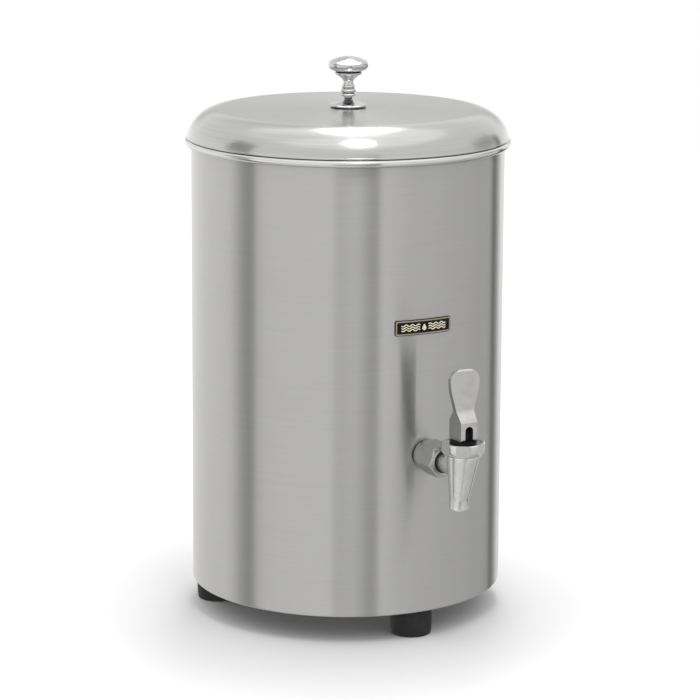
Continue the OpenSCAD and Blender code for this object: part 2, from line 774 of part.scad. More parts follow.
// Front view: straight block, waist that widens to the paddle, round top corners
module handle_front() {
    half_block = block_w / 2;
    half_paddle = paddle_w / 2;
    corner_z = handle_top_z - paddle_corner_r;
    flank_h = corner_z - shoulder_z;
    flank = [
        [half_block, shoulder_z], [half_block - 0.1, shoulder_z + flank_h * 0.44],
        [half_paddle - 0.5, shoulder_z + flank_h * 0.57], [half_paddle, corner_z]
    ];
    side = [for (i = [0 : 16]) bezier(flank, i / 16)];
    polygon(concat(
        [[-half_block, block_z], [half_block, block_z]],
        side,
        [for (i = [16 : -1 : 0]) [-side[i][0], side[i][1]]]
    ));
    intersection() {
        translate([-half_paddle, corner_z - eps]) square([paddle_w, paddle_corner_r + eps]);
        union() {
            for (x = [-1, 1]) translate([x * (half_paddle - paddle_corner_r), corner_z]) circle(r = paddle_corner_r);
            translate([paddle_corner_r - half_paddle, corner_z - 1])
                square([paddle_w - 2 * paddle_corner_r, paddle_corner_r + 1]);
        }
    }
}

// Side view: block with round heels, sloped shoulders, paddle that thins to its tip
module handle_side() {
    half_block = block_d / 2;
    root = paddle_root_t / 2;
    tip = paddle_tip_t / 2;
    shoulder = [
        [half_block, shoulder_z], [root + 2.2, shoulder_z + shoulder_h * 0.62],
        [root, shoulder_z + shoulder_h * 0.72], [root, paddle_z]
    ];
    slope = [for (i = [0 : 10]) bezier(shoulder, i / 10)];
    translate([-half_block + heel_r, block_z]) square([block_d - 2 * heel_r, heel_r + eps]);
    translate([-half_block, block_z + heel_r]) square([block_d, block_h - heel_r]);
    for (y = [-1, 1]) translate([y * (half_block - heel_r), block_z + heel_r]) circle(r = heel_r);
    polygon(concat(
        slope,
        [[tip, handle_top_z - tip], [-tip, handle_top_z - tip]],
        [for (i = [10 : -1 : 0]) [-slope[i][0], slope[i][1]]]
    ));
    translate([0, handle_top_z - tip]) circle(r = tip);
}

module handle() {
    color("lightgray") at_tap() difference() {
        intersection() {
            rotate([90, 0, 0]) linear_extrude(block_d + 2, center = true) handle_front();
            rotate([90, 0, 90]) linear_extrude(paddle_w + 2, center = true) handle_side();
        }
        // slot for the stem's head, open below and through
        translate([0, 0, slot_axis_z]) rotate([90, 0, 0]) cylinder(d = slot_w, h = block_d + 2, center = true);
        translate([-slot_w / 2, -block_d / 2 - 1, block_z - 1])
            cube([slot_w, block_d + 2, slot_axis_z - block_z + 1]);
        // pin hole, blind on its left
        translate([pin_blind_t - block_w / 2, 0, pin_z]) rotate([0, 90, 0]) cylinder(d = pin_d, h = block_w);
    }
}

module handle_pin() {
    color("silver") at_tap() translate([pin_blind_t - block_w / 2 + seat_clear, 0, pin_z]) rotate([0, 90, 0])
        cylinder(r = pin_d / 2 - 0.01, h = block_w - pin_blind_t - 0.5);
}

// ---- Lid

// Outline of the dome above base_z, set in by the distance inset
module dome_section(inset, base_z) {
    intersection() {
        translate([0, crown_centre_z]) circle(r = crown_r - inset, $fn = 2048);
        translate([0, base_z]) square([crown_end_r, lid_h + 2]);
    }
    intersection() {
        translate([shoulder_x, shoulder_centre_z]) circle(r = shoulder_r - inset);
        translate([crown_end_r - eps, base_z]) square([shoulder_r, lid_h + 2]);
    }
}

// The sheet ends in its hem, and the middle is drilled for the knob's screw
module lid_dome() {
    color("gainsboro") at_urn() rotate_extrude() difference() {
        union() {
            difference() {
                dome_section(0, lid_z);
                dome_section(lid_wall, lid_z - 1);
            }
            translate([lid_hem_axis_r, lid_z]) circle(r = lid_hem_r);
        }
        square([knob_screw_d / 2 + 0.2, crown_z + 1]);
    }
}

module lid_ring() {
    ring_t = 1;
    flange_end_r = lid_hem_axis_r - lid_hem_r - seat_clear;
    color("gainsboro") at_urn() rotate_extrude() {
        translate([skirt_r - ring_t, ring_z]) square([flange_end_r - skirt_r + ring_t, ring_t]);
        translate([skirt_r - ring_t, skirt_z]) square([ring_t, ring_z + ring_t - skirt_z]);
    }
}

// A flattened round section: two large arcs meet a small one at the rim
module cap_section() {
    rim_x = cap_r - cap_rim_r;
    half = cap_t / 2;
    k = half - cap_rim_r;
    centre = (pow(rim_x, 2) - pow(k, 2)) / (2 * k);
    arc_r = half + centre;
    meet_x = rim_x * arc_r / (arc_r - cap_rim_r);
    intersection() {
        translate([0, -centre]) circle(r = arc_r, $fn = 256);
        translate([0, centre]) circle(r = arc_r, $fn = 256);
        translate([0, -half]) square([meet_x, cap_t]);
    }
    translate([rim_x, 0]) circle(r = cap_rim_r);
}

module lid_knob() {
    lip_r = 0.85;
    lip_z = 1.4;
    color("white") at_urn() translate([0, 0, crown_z]) rotate_extrude() difference() {
        union() {
            translate([0, cap_axis_z]) cap_section();
            for (ring = knob_rings) {
                translate([ring[1] - ring[2], knob_h - ring[0]]) circle(r = ring[2]);
                translate([0, knob_h - ring[0] - ring[2]]) square([ring[1] - ring[2], 2 * ring[2]]);
            }
            // core: the flared foot, and the necks between the rings
            polygon(concat(
                [[0, 0], [knob_foot_r - 2 * lip_r, 0], [knob_foot_r - 0.3 * lip_r, lip_z - 0.7 * lip_r]],
                [for (turn = knob_flare) [turn[1], turn[0]]],
                [for (turn = knob_core) [turn[1], knob_h - turn[0]]],
                [[9.6, cap_axis_z], [0, cap_axis_z]]
            ));
            translate([knob_foot_r - lip_r, lip_z]) circle(r = lip_r);
        }
        translate([0, -1]) square([knob_screw_d / 2 + thread_clear, knob_screw_l + 1]);
        translate([-1, -1]) square([1, knob_h + 2]);
    }
}

module knob_washer() {
    color("silver") at_urn() translate([0, 0, knob_washer_z])
        tube(knob_screw_d / 2 + 0.2, knob_washer_r, washer_t);
}

module knob_screw() {
    head_h = knob_screw_d * 0.36;
    head_z = knob_washer_z - head_h;
    color("silver") at_urn() difference() {
        union() {
            translate([0, 0, head_z]) cylinder(r1 = knob_screw_d * 0.75, r2 = knob_screw_d * 0.95, h = head_h);
            translate([0, 0, head_z]) cylinder(d = knob_screw_d, h = crown_z + knob_screw_l - 1 - head_z);
        }
        translate([0, 0, head_z - eps]) hex_prism(knob_screw_d * 0.6, head_h * 0.7);
    }
}

// ---- Nodes

outer_shell();
inner_tank();
side_insulation();
base_insulation();
base_plate();
for (i = [0 : 2]) foot(i);
foot_screws();
foot_washers();
foot_nuts();
label_plate();
label_frame();
tap_shank();
shank_o_ring();
shell_gasket();
shank_spacer();
tank_gasket();
shank_washer();
shank_nut();
tap_body();
bonnet();
bonnet_seal();
stem_guide();
valve_stem();
seat_cup();
valve_spring();
stem_o_ring();
handle();
handle_pin();
lid_dome();
lid_ring();
lid_knob();
knob_washer();
knob_screw();
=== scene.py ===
import math

import bmesh
import bpy
from mathutils import Matrix, Vector


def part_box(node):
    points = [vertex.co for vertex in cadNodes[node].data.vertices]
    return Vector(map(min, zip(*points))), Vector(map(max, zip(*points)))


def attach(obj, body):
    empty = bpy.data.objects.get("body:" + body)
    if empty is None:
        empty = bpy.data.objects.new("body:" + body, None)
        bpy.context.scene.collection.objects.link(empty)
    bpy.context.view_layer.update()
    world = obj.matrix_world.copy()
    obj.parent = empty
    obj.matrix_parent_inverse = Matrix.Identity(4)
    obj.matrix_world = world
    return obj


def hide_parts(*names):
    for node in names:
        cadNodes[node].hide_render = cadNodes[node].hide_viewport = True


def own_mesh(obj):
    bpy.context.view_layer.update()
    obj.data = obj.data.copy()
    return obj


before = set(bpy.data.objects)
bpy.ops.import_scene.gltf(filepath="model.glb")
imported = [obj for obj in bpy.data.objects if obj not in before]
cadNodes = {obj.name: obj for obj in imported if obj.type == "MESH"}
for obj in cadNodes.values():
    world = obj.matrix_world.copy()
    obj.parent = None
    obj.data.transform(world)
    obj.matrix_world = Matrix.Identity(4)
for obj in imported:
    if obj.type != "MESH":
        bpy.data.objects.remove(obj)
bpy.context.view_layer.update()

scene = bpy.context.scene
shellLow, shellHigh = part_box("outer_shell")
urnAxis = (shellLow + shellHigh) / 2
shellRadius = (shellHigh.x - shellLow.x) / 2
print("urn: frame loaded with", len(cadNodes), "nodes")


# ---- camera: the view's own angles, about the urn's upright axis

cameraSettings = {
    "azimuth": math.radians(-29.5),  # from the tap's side, seen from above
    "distance": 2.3,
    "height": 0.70957,
    "pitch": math.radians(11.472),  # down
    "yaw": math.radians(0.058),
    "roll": math.radians(0.331),
    "lens": 149.68,
    "sensor": 36,
    "shiftY": -0.06,
    "clipEnd": 60,
}


def makeCamera(s):
    away = Vector((-math.sin(s["azimuth"]), math.cos(s["azimuth"]), 0))
    toRight = Vector((math.cos(s["azimuth"]), math.sin(s["azimuth"]), 0))
    up = Vector((0, 0, 1))
    right = toRight * math.cos(s["yaw"]) - away * math.sin(s["yaw"])
    level = toRight * math.sin(s["yaw"]) + away * math.cos(s["yaw"])
    forward = level * math.cos(s["pitch"]) - up * math.sin(s["pitch"])
    top = level * math.sin(s["pitch"]) + up * math.cos(s["pitch"])
    rolledRight = right * math.cos(s["roll"]) + top * math.sin(s["roll"])
    rolledTop = top * math.cos(s["roll"]) - right * math.sin(s["roll"])
    turn = Matrix((rolledRight, rolledTop, -forward)).transposed()
    data = bpy.data.cameras.new("camera")
    data.lens = s["lens"]
    data.sensor_width = s["sensor"]
    data.shift_y = s["shiftY"]
    data.clip_end = s["clipEnd"]
    camera = bpy.data.objects.new("camera", data)
    place = Vector((urnAxis.x, urnAxis.y, s["height"])) - away * s["distance"]
    camera.matrix_world = Matrix.Translation(place) @ turn.to_4x4()
    scene.collection.objects.link(camera)
    scene.camera = camera
    scene.view_settings.view_transform = "Standard"


makeCamera(cameraSettings)
print("urn: camera set")


# ---- small helpers for shader nodes

def connect(tree, value, socket):
    if isinstance(value, bpy.types.Node):
        value = value.outputs[0]
    if isinstance(value, bpy.types.NodeSocket):
        tree.links.new(value, socket)
    else:
        socket.default_value = value


def addNode(tree, kind, inputs=None, **settings):
    made = tree.nodes.new("ShaderNode" + kind)
    for name, value in settings.items():
        setattr(made, name, value)
    for name, value in (inputs or {}).items():
        connect(tree, value, made.inputs[name])
    return made


def sums(tree, operation, *values):
    made = tree.nodes.new("ShaderNodeMath")
    made.operation = operation
    for socket, value in zip(made.inputs, values):
        connect(tree, value, socket)
    return made.outputs[0]


def vectorSums(tree, operation, *values):
    made = tree.nodes.new("ShaderNodeVectorMath")
    made.operation = operation
    for socket, value in zip(made.inputs, values):
        connect(tree, value, socket)
    return made.outputs["Value" if operation in ("LENGTH", "DISTANCE", "DOT_PRODUCT") else "Vector"]


def rampTo(tree, value, fromLow, fromHigh, toLow=0.0, toHigh=1.0, smooth=True):
    kind = "SMOOTHSTEP" if smooth else "LINEAR"
    return addNode(tree, "MapRange", {"Value": value, "From Min": fromLow, "From Max": fromHigh,
                                      "To Min": toLow, "To Max": toHigh}, interpolation_type=kind).outputs[0]


def mixColours(tree, factor, first, second):
    made = tree.nodes.new("ShaderNodeMix")
    made.data_type = "RGBA"
    connect(tree, factor, made.inputs[0])
    connect(tree, first, made.inputs[6])
    connect(tree, second, made.inputs[7])
    return made.outputs[2]


def greyLevel(level, warmth=0.0):
    return (level * (1 + warmth), level, level * (1 - warmth), 1.0)


# ---- studio: a white room with dark gaps between its lit walls, two softboxes overhead, a pale floor

studio = {
    "walls": 1.22,
    "background": 1.0,
    "fill": (0.62, 1.10),  # what matt surfaces receive, from low down and from overhead
    "fillTurns": (14, 46),  # the elevations between which it changes
    "bounce": 0.26,  # what is left of the room in light that metal throws on to matt surfaces
    "tint": (1.0, 0.995, 0.985, 1.0),  # of the room as metal mirrors it
    # each band in degrees: left, its softness, right, its softness, bottom, its softness, top, its softness,
    # and then the share of the light that is left in it
    "bands": [
        (-181, 0, 181, 0, -91, 1, -14, 14, 0.66),
        (-181, 0, 181, 0, 2, 8, 91, 1, 0.885),
        (-88.5, 8, -70.8, 0.8, -91, 1, 6, 8, 0.47),
        (-82, 6, -71.3, 0.8, -91, 1, 4, 6, 0.64),
        (-98, 3, -75, 2, 11, 4, 34, 3, 0.42),
        (-9.5, 0.8, 23.5, 1.2, -42, 8, 14, 6, 0.70),
        (13, 8, 23.5, 1.2, -70, 8, 24, 10, 0.56),
        (36, 18, 131, 3, -91, 1, 14, 14, 0.77),
        (78, 16, 131, 3, -91, 1, 4, 8, 0.88),
        (132, 1.5, 148, 4, -91, 1, -3, 4, 0.10),
        (131, 2, 138, 2, -6, 4, 15, 4, 0.20),
        (104, 8, 131, 4, 6, 5, 24, 6, 0.58),
        (-130, 14, -70, 16, 50, 4, 91, 1, 0.80),
        (160, 9, 200, 9, 4, 6, 13, 5, 0.54),
        (180, 2, 200, 5, 20, 6, 43, 3, 0.84),
        (-181, 0, 181, 0, 18, 10, 48, 2, 0.92),
        (-181, 0, 181, 0, 50, 2, 91, 1, 1.25),
    ],
    "floorRadius": 2.6,
    "floorSteps": 96,
    "floorGrey": 0.93,
    "floorRoughness": 0.9,
    "floorSpecular": 0.1,
    "floorGlow": 0.20,  # fades the floor into the white room
    "glowReach": (0.12, 0.38),  # from the urn's axis
}


def window(tree, value, low, lowSoft, high, highSoft, least=0.001):
    # 1 between low and high, 0 outside them; least keeps a hard side from having no width
    low, lowSoft, high, highSoft = (math.radians(v) for v in (low, lowSoft, high, highSoft))
    enters = rampTo(tree, value, low - lowSoft - least, low + lowSoft)
    leaves = rampTo(tree, value, high - highSoft, high + highSoft + least, 1.0, 0.0)
    return sums(tree, "MULTIPLY", enters, leaves)


def makeRoom(s):
    world = bpy.data.worlds.new("studio")
    world.use_nodes = True
    scene.world = world
    tree = world.node_tree
    tree.nodes.clear()
    direction = addNode(tree, "TexCoord").outputs["Generated"]
    turned = addNode(tree, "VectorRotate", {"Vector": direction, "Angle": -cameraSettings["azimuth"]},
                     rotation_type="Z_AXIS")
    across, depth, height = addNode(tree, "SeparateXYZ", {"Vector": turned}).outputs
    azimuth = sums(tree, "ARCTAN2", across, sums(tree, "MULTIPLY", depth, -1.0))
    wrap = sums(tree, "MULTIPLY", sums(tree, "LESS_THAN", azimuth, 0.0), math.tau)
    wholeTurn = sums(tree, "ADD", azimuth, wrap)
    elevation = sums(tree, "ARCSINE", height)
    level = s["walls"]
    for left, leftSoft, right, rightSoft, bottom, bottomSoft, top, topSoft, kept in s["bands"]:
        # a band across the back needs a turn that doesn't break there
        turn = wholeTurn if right > 181 else azimuth
        mask = sums(tree, "MULTIPLY", window(tree, turn, left, leftSoft, right, rightSoft),
                    window(tree, elevation, bottom, bottomSoft, top, topSoft))
        shade = sums(tree, "SUBTRACT", 1.0, sums(tree, "MULTIPLY", mask, 1 - kept))
        level = sums(tree, "MULTIPLY", level, shade)
    path = addNode(tree, "LightPath")
    bounced = sums(tree, "GREATER_THAN", path.outputs["Diffuse Depth"], 0.5)
    level = sums(tree, "MULTIPLY", level, rampTo(tree, bounced, 0.0, 1.0, 1.0, s["bounce"]))
    mirrored = addNode(tree, "Background", {"Color": s["tint"], "Strength": level})
    fillTurns = [math.radians(angle) for angle in s["fillTurns"]]
    filled = addNode(tree, "Background", {"Color": (1, 1, 1, 1),
                                          "Strength": rampTo(tree, elevation, *fillTurns, *s["fill"])})
    plain = addNode(tree, "Background", {"Color": (1, 1, 1, 1), "Strength": s["background"]})
    unseen = addNode(tree, "MixShader", {0: path.outputs["Is Glossy Ray"], 1: filled, 2: mirrored})
    mixed = addNode(tree, "MixShader", {0: path.outputs["Is Camera Ray"], 1: unseen, 2: plain})
    addNode(tree, "OutputWorld", {"Surface": mixed})


knobLight = {"across": 0.05, "depth": -0.06, "above": 0.40, "size": 0.78, "power": 3.6}
softboxes = {
    "backBox": {"across": 0.06, "depth": 0.80, "height": 1.95, "width": 0.50, "length": 1.20, "power": 8.5,
                "aimHeight": 0.35},
    "frontBox": {"across": 0.16, "depth": -0.72, "height": 1.75, "width": 0.40, "length": 0.50, "power": 3.0,
                 "aimHeight": 0.35},
}


def makeSoftbox(name, s):
    data = bpy.data.lights.new(name, "AREA")
    data.shape = "ELLIPSE"
    data.size = s["width"]
    data.size_y = s["length"]
    data.energy = s["power"]
    box = bpy.data.objects.new(name, data)
    turn = Matrix.Rotation(cameraSettings["azimuth"], 4, "Z")
    place = turn @ Vector((s["across"], s["depth"], 0)) + Vector((urnAxis.x, urnAxis.y, s["height"]))
    aim = Vector((urnAxis.x, urnAxis.y, s["aimHeight"])) - place
    box.matrix_world = Matrix.Translation(place) @ aim.to_track_quat("-Z", "Y").to_matrix().to_4x4()
    box.visible_camera = False
    scene.collection.objects.link(box)


def makeKnobLight(s):
    # a round softbox over the lid that only the knob's bright chrome mirrors
    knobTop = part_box("lid_knob")[1].z
    data = bpy.data.lights.new("knobLight", "AREA")
    data.shape = "DISK"
    data.size = s["size"]
    data.energy = s["power"]
    lamp = bpy.data.objects.new("knobLight", data)
    turn = Matrix.Rotation(cameraSettings["azimuth"], 4, "Z")
    overKnob = Vector((urnAxis.x, urnAxis.y, knobTop + s["above"]))
    lamp.location = turn @ Vector((s["across"], s["depth"], 0)) + overKnob
    lamp.visible_camera = False
    scene.collection.objects.link(lamp)
    lit = bpy.data.collections.new("lit by the knob light")
    lit.objects.link(cadNodes["lid_knob"])
    lamp.light_linking.receiver_collection = lit


def makeFloor(s):
    mesh = bpy.data.meshes.new("floor")
    turns = [step * math.tau / s["floorSteps"] for step in range(s["floorSteps"])]
    ring = [(s["floorRadius"] * math.cos(turn), s["floorRadius"] * math.sin(turn), 0) for turn in turns]
    mesh.from_pydata(ring, [], [list(range(s["floorSteps"]))])
    floor = bpy.data.objects.new("floor", mesh)
    scene.collection.objects.link(floor)
    paper = bpy.data.materials.new("pale floor")
    paper.use_nodes = True
    shader = paper.node_tree.nodes["Principled BSDF"]
    shader.inputs["Base Color"].default_value = greyLevel(s["floorGrey"])
    shader.inputs["Roughness"].default_value = s["floorRoughness"]
    shader.inputs["Specular IOR Level"].default_value = s["floorSpecular"]
    position = addNode(paper.node_tree, "TexCoord").outputs["Object"]
    fromAxis = vectorSums(paper.node_tree, "DISTANCE", position, (urnAxis.x, urnAxis.y, 0))
    # painted light: the floor glows more the farther it lies from the urn's axis, which keeps the shade
    # beside the urn darker and brightens the far floor
    glow = rampTo(paper.node_tree, fromAxis, *s["glowReach"], 0.0, s["floorGlow"])
    shader.inputs["Emission Color"].default_value = (1, 1, 1, 1)
    connect(paper.node_tree, glow, shader.inputs["Emission Strength"])
    mesh.materials.append(paper)
    floor.visible_glossy = False  # polished metal sees the room's own lower half


makeRoom(studio)
for boxName, boxSettings in softboxes.items():
    makeSoftbox(boxName, boxSettings)
makeKnobLight(knobLight)
makeFloor(studio)
print("urn: studio lit")


# ---- shader groups that several finishes share

def newGroup(name, inputs, outputs):
    group = bpy.data.node_groups.new(name, "ShaderNodeTree")
    for socketName, kind, value in inputs:
        socket = group.interface.new_socket(name=socketName, in_out="INPUT", socket_type="NodeSocket" + kind)
        if value is not None:
            socket.default_value = value
    for socketName, kind in outputs:
        group.interface.new_socket(name=socketName, in_out="OUTPUT", socket_type="NodeSocket" + kind)
    return group, group.nodes.new("NodeGroupInput"), group.nodes.new("NodeGroupOutput")


def noise(tree, vector, scale, detail=2.0, roughness=0.5):
    return addNode(tree, "TexNoise", {"Vector": vector, "Scale": scale, "Detail": detail,
                                      "Roughness": roughness}).outputs[0]


grainShape = {"fineShare": 0.6, "coarseShare": 0.4, "coarseScale": 0.31, "cloudScale": 0.06}


def makeBrushedGrain(s):
    group, given, result = newGroup(
        "brushed grain",
        [("Position", "Vector", None), ("Along", "Float", 45.0), ("Across", "Float", 2400.0)],
        [("Streak", "Float"), ("Cloud", "Float")])
    stretch = addNode(group, "CombineXYZ", {"X": given.outputs["Along"], "Y": given.outputs["Along"],
                                            "Z": given.outputs["Across"]})
    stretched = vectorSums(group, "MULTIPLY", given.outputs["Position"], stretch)
    fine = noise(group, stretched, 1.0, 2.0, 0.6)
    coarse = noise(group, stretched, s["coarseScale"], 1.0, 0.5)
    streak = sums(group, "ADD", sums(group, "MULTIPLY", fine, s["fineShare"]),
                  sums(group, "MULTIPLY", coarse, s["coarseShare"]))
    connect(group, streak, result.inputs["Streak"])
    connect(group, noise(group, stretched, s["cloudScale"], 1.0, 0.5), result.inputs["Cloud"])
    return group


def makeTurnedRings():
    group, given, result = newGroup(
        "turned rings",
        [("Position", "Vector", None), ("Centre", "Vector", None), ("Rings", "Float", 2200.0),
         ("Wander", "Float", 14.0)],
        [("Ring", "Float"), ("Radius", "Float")])
    offset = vectorSums(group, "SUBTRACT", given.outputs["Position"], given.outputs["Centre"])
    flat = vectorSums(group, "MULTIPLY", offset, (1.0, 1.0, 0.0))
    radius = vectorSums(group, "LENGTH", flat)
    wander = addNode(group, "VectorMath", {0: flat}, operation="SCALE")
    connect(group, given.outputs["Wander"], wander.inputs["Scale"])
    split = addNode(group, "SeparateXYZ", {"Vector": wander})
    ringPlace = addNode(group, "CombineXYZ", {"X": split.outputs[0], "Y": split.outputs[1],
                                              "Z": sums(group, "MULTIPLY", radius, given.outputs["Rings"])})
    connect(group, noise(group, ringPlace, 1.0, 2.0, 0.6), result.inputs["Ring"])
    connect(group, radius, result.inputs["Radius"])
    return group


markShape = {
    "smearFrom": 0.42, "smearTo": 0.72, "distortion": 0.8,
    "scratchStretch": (0.25, 0.25, 4.0), "scratchScale": 9.0, "scratchFrom": 0.60, "scratchTo": 0.74,
}


def makeHandlingMarks(s):
    group, given, result = newGroup(
        "handling marks",
        [("Position", "Vector", None), ("Scale", "Float", 40.0)],
        [("Marks", "Float"), ("Scratches", "Float")])
    position, scale = given.outputs["Position"], given.outputs["Scale"]
    smear = addNode(group, "TexNoise", {"Vector": position, "Scale": scale, "Detail": 5.0, "Roughness": 0.62,
                                        "Distortion": s["distortion"]})
    connect(group, rampTo(group, smear.outputs[0], s["smearFrom"], s["smearTo"]), result.inputs["Marks"])
    stretched = vectorSums(group, "MULTIPLY", position, s["scratchStretch"])
    finer = sums(group, "MULTIPLY", scale, s["scratchScale"])
    scratch = noise(group, stretched, finer, 3.0, 0.7)
    connect(group, rampTo(group, scratch, s["scratchFrom"], s["scratchTo"]), result.inputs["Scratches"])
    return group


speckleShape = {"patchScale": 0.05}  # beside the speckle's own


def makeFineSpeckle(s):
    group, given, result = newGroup(
        "fine speckle",
        [("Position", "Vector", None), ("Scale", "Float", 2500.0)],
        [("Speckle", "Float"), ("Patch", "Float")])
    position, scale = given.outputs["Position"], given.outputs["Scale"]
    connect(group, noise(group, position, scale, 3.0, 0.6), result.inputs["Speckle"])
    connect(group, noise(group, position, sums(group, "MULTIPLY", scale, s["patchScale"]), 3.0, 0.55),
            result.inputs["Patch"])
    return group


recessShape = {"samples": 8, "darkBelow": 0.30, "openAbove": 0.86}


def makeRecessShade(s):
    # painted shade: ambient occlusion darkens the colour in grooves and recesses
    group, given, result = newGroup("recess shade", [("Reach", "Float", 0.003)], [("Open", "Float")])
    hidden = group.nodes.new("ShaderNodeAmbientOcclusion")
    hidden.samples = s["samples"]
    hidden.only_local = True
    connect(group, given.outputs["Reach"], hidden.inputs["Distance"])
    connect(group, rampTo(group, hidden.outputs["AO"], s["darkBelow"], s["openAbove"]), result.inputs["Open"])
    return group


brushedGrain = makeBrushedGrain(grainShape)
turnedRings = makeTurnedRings()
handlingMarks = makeHandlingMarks(markShape)
fineSpeckle = makeFineSpeckle(speckleShape)
recessShade = makeRecessShade(recessShape)


def placeGroup(tree, group, **inputs):
    made = tree.nodes.new("ShaderNodeGroup")
    made.node_tree = group
    for name, value in inputs.items():
        connect(tree, value, made.inputs[name])
    return made


def newFinish(name):
    finish = bpy.data.materials.new(name)
    finish.use_nodes = True
    tree = finish.node_tree
    position = addNode(tree, "TexCoord").outputs["Object"]
    return finish, tree, tree.nodes["Principled BSDF"], position


def bumpFrom(tree, shader, height, distance, strength=1.0):
    bump = addNode(tree, "Bump", {"Height": height, "Distance": distance, "Strength": strength})
    connect(tree, bump, shader.inputs["Normal"])


def spread(tree, value, middle, amount, low=0.25, high=0.75):
    # middle, give or take amount, as value goes from low to high
    return rampTo(tree, value, low, high, middle - amount, middle + amount, smooth=False)


def runGrainAround(tree, shader, anisotropic):
    # the grain runs around the upright axis, so light spreads across it
    shader.inputs["Anisotropic"].default_value = anisotropic
    shader.inputs["Anisotropic Rotation"].default_value = 0.25
    connect(tree, addNode(tree, "Tangent", direction_type="RADIAL", axis="Z"), shader.inputs["Tangent"])


# ---- finishes

def makeBrushedShell(s):
    finish, tree, shader, position = newFinish("brushed shell")
    grain = placeGroup(tree, brushedGrain, Position=position, Along=s["along"], Across=s["across"])
    marks = placeGroup(tree, handlingMarks, Position=position, Scale=s["markScale"])
    tone = mixColours(tree, spread(tree, grain.outputs["Streak"], 0.5, 0.5), s["dark"], s["light"])
    shader.inputs["Metallic"].default_value = 1.0
    runGrainAround(tree, shader, s["anisotropic"])
    connect(tree, tone, shader.inputs["Base Color"])
    rough = sums(tree, "ADD", spread(tree, grain.outputs["Streak"], s["roughness"], s["roughSpread"]),
                 sums(tree, "MULTIPLY", marks.outputs["Marks"], s["smear"]))
    connect(tree, rough, shader.inputs["Roughness"])
    bumpFrom(tree, shader, grain.outputs["Streak"], s["depth"])
    return finish


def makeSpunSteel(name, s):
    finish, tree, shader, position = newFinish(name)
    rings = placeGroup(tree, turnedRings, Position=position, Centre=tuple(urnAxis), Rings=s["rings"])
    marks = placeGroup(tree, handlingMarks, Position=position, Scale=s["markScale"])
    shader.inputs["Metallic"].default_value = 1.0
    runGrainAround(tree, shader, s["anisotropic"])
    tone = mixColours(tree, spread(tree, rings.outputs["Ring"], 0.5, 0.5), s["dark"], s["light"])
    rough = sums(tree, "ADD", spread(tree, rings.outputs["Ring"], s["roughness"], s["roughSpread"]),
                 sums(tree, "MULTIPLY", marks.outputs["Marks"], s["smear"]))
    if "satinWithin" in s:
        # the tank's wall and floor keep a satin face, and only the rim outside them is polished
        offset = vectorSums(tree, "SUBTRACT", position, tuple(urnAxis))
        fromAxis = vectorSums(tree, "LENGTH", vectorSums(tree, "MULTIPLY", offset, (1, 1, 0)))
        within = rampTo(tree, fromAxis, s["satinWithin"] + s["satinFade"], s["satinWithin"])
        tone = mixColours(tree, within, tone, s["satin"])
        rough = sums(tree, "ADD", rough, sums(tree, "MULTIPLY", within, s["satinRoughness"]))
    connect(tree, tone, shader.inputs["Base Color"])
    connect(tree, rough, shader.inputs["Roughness"])
    bumpFrom(tree, shader, rings.outputs["Ring"], s["depth"])
    return finish


def makePolishedMetal(name, s):
    finish, tree, shader, position = newFinish(name)
    marks = placeGroup(tree, handlingMarks, Position=position, Scale=s["markScale"])
    speckle = placeGroup(tree, fineSpeckle, Position=position, Scale=s["speckleScale"])
    shader.inputs["Metallic"].default_value = 1.0
    tone = mixColours(tree, marks.outputs["Marks"], s["light"], s["dark"])
    if "recess" in s:
        # painted shade in recesses, mixed into the colour
        shade = placeGroup(tree, recessShade, Reach=s["reach"])
        tone = mixColours(tree, shade.outputs["Open"], s["recess"], tone)
    rough = sums(tree, "ADD", spread(tree, speckle.outputs["Patch"], s["roughness"], s["roughSpread"]),
                 sums(tree, "MULTIPLY", marks.outputs["Scratches"], s["smear"]))
    if "sideShade" in s:
        # faces turned away from the front and the top get a painted shade in their colour and a rougher
        # surface; faces turned to the front or up stay polished
        normal = addNode(tree, "TexCoord").outputs["Normal"]
        facing = addNode(tree, "SeparateXYZ", {"Vector": normal}).outputs
        turned = sums(tree, "MAXIMUM", sums(tree, "MULTIPLY", facing["Y"], -1.0), facing["Z"])
        shadedAndRougher = rampTo(tree, turned, *s["turnedAwayRange"])
        tone = mixColours(tree, shadedAndRougher, tone, s["sideShade"])
        rough = sums(tree, "ADD", rough, sums(tree, "MULTIPLY", shadedAndRougher, s["castRoughness"]))
    connect(tree, tone, shader.inputs["Base Color"])
    connect(tree, rough, shader.inputs["Roughness"])
    bumpFrom(tree, shader, speckle.outputs["Speckle"], s["depth"])
    return finish


def makeMoulded(name, s):
    finish, tree, shader, position = newFinish(name)
    speckle = placeGroup(tree, fineSpeckle, Position=position, Scale=s["speckleScale"])
    marks = placeGroup(tree, handlingMarks, Position=position, Scale=s["markScale"])
    tone = mixColours(tree, marks.outputs["Marks"], s["colour"], s["dust"])
    connect(tree, tone, shader.inputs["Base Color"])
    connect(tree, spread(tree, speckle.outputs["Patch"], s["roughness"], s["roughSpread"]),
            shader.inputs["Roughness"])
    shader.inputs["Specular IOR Level"].default_value = s["specular"]
    bumpFrom(tree, shader, speckle.outputs["Speckle"], s["depth"])
    return finish


